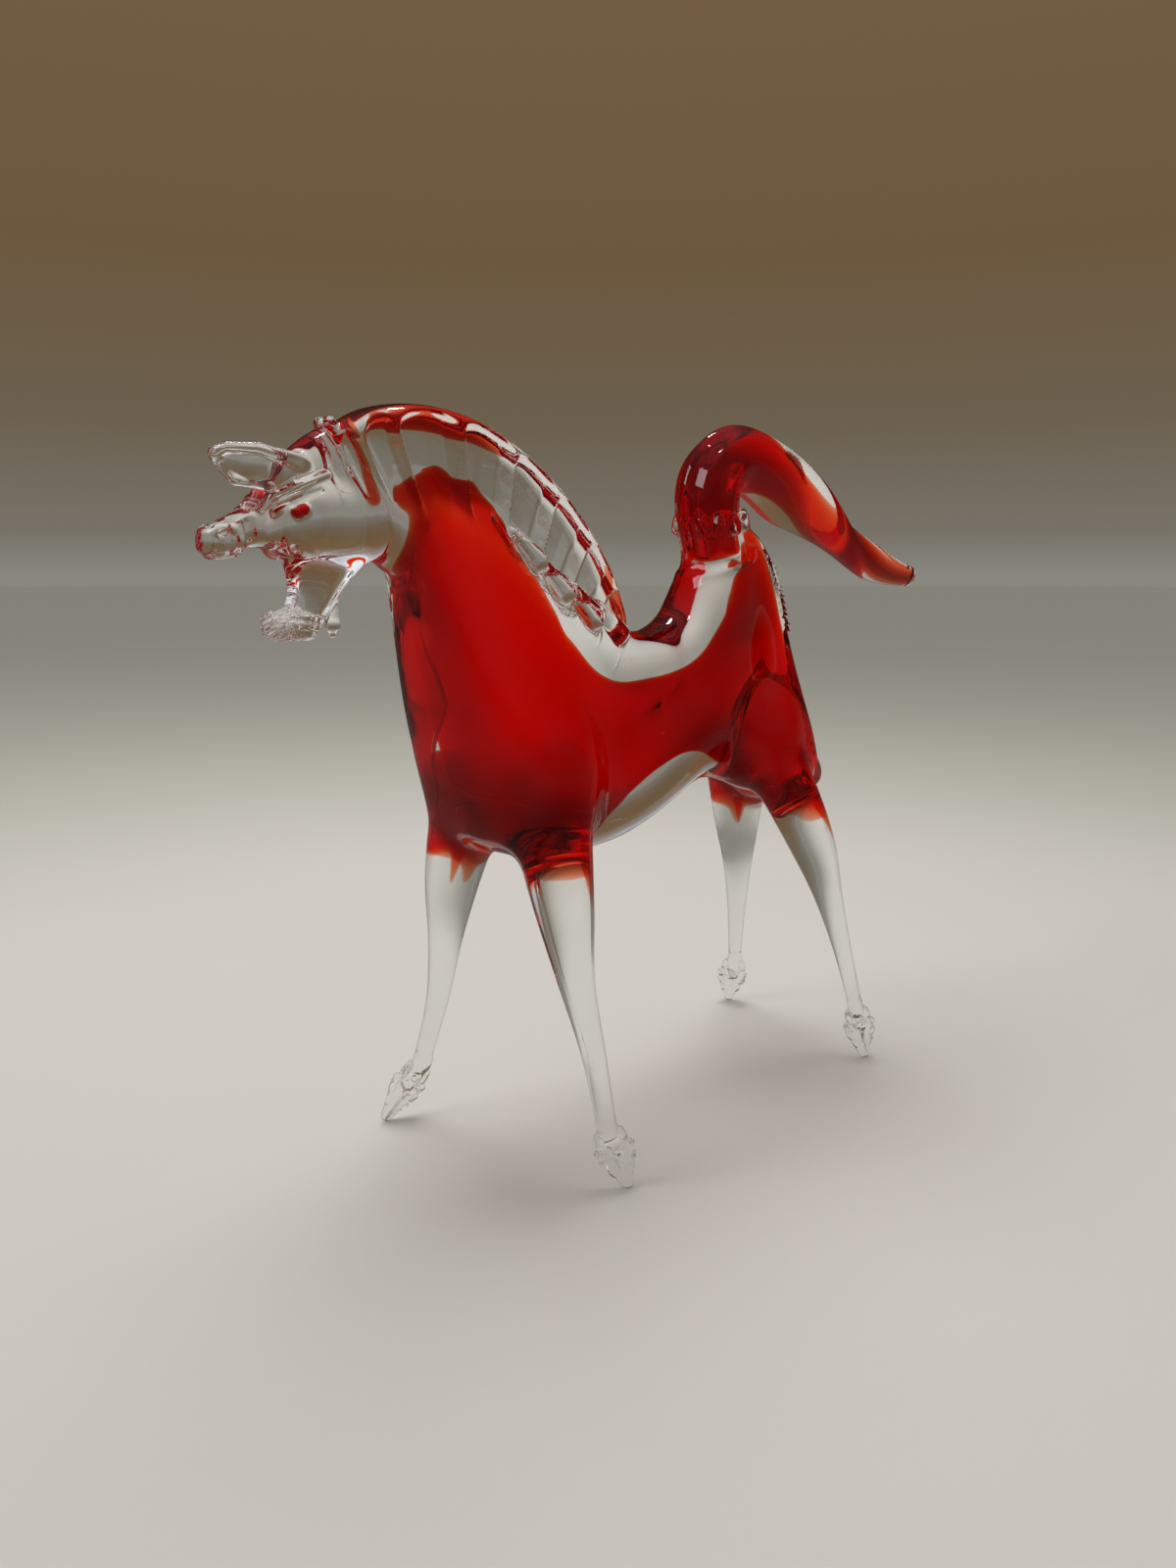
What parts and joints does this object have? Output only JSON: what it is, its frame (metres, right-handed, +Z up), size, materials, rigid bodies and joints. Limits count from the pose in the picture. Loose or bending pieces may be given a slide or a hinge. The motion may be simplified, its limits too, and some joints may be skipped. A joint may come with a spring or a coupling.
{
  "type": "glass horse figurine",
  "caption": "Standing horse ornament of solid hot-worked glass: red core cased in clear, crimped clear mane, open mouth, raised twisted tail and drawn clear legs.",
  "frame": {"origin": "on the standing surface, under the middle of the figurine's bounding box", "axes": "+X towards the tail, +Y to the horse's right, +Z up"},
  "size_m": [0.1658, 0.0492, 0.1222],
  "materials": {
    "clear_glass": "fire-polished clear glass",
    "red_glass": "transparent ruby-red glass"
  },
  "bodies": {
    "root": {"body_core": "red_glass", "body_casing": "clear_glass", "head": "clear_glass", "lower_jaw": "clear_glass", "eye_left": "red_glass", "eye_right": "red_glass", "ear_left": "clear_glass", "ear_right": "clear_glass", "mane": "clear_glass", "front_left_leg": "clear_glass", "front_left_hoof": "clear_glass", "front_right_leg": "clear_glass", "front_right_hoof": "clear_glass", "hind_left_leg": "clear_glass", "hind_left_hoof": "clear_glass", "hind_right_leg": "clear_glass", "hind_right_hoof": "clear_glass", "tail_core": "red_glass", "tail_casing": "clear_glass"}
  },
  "joints": []
}
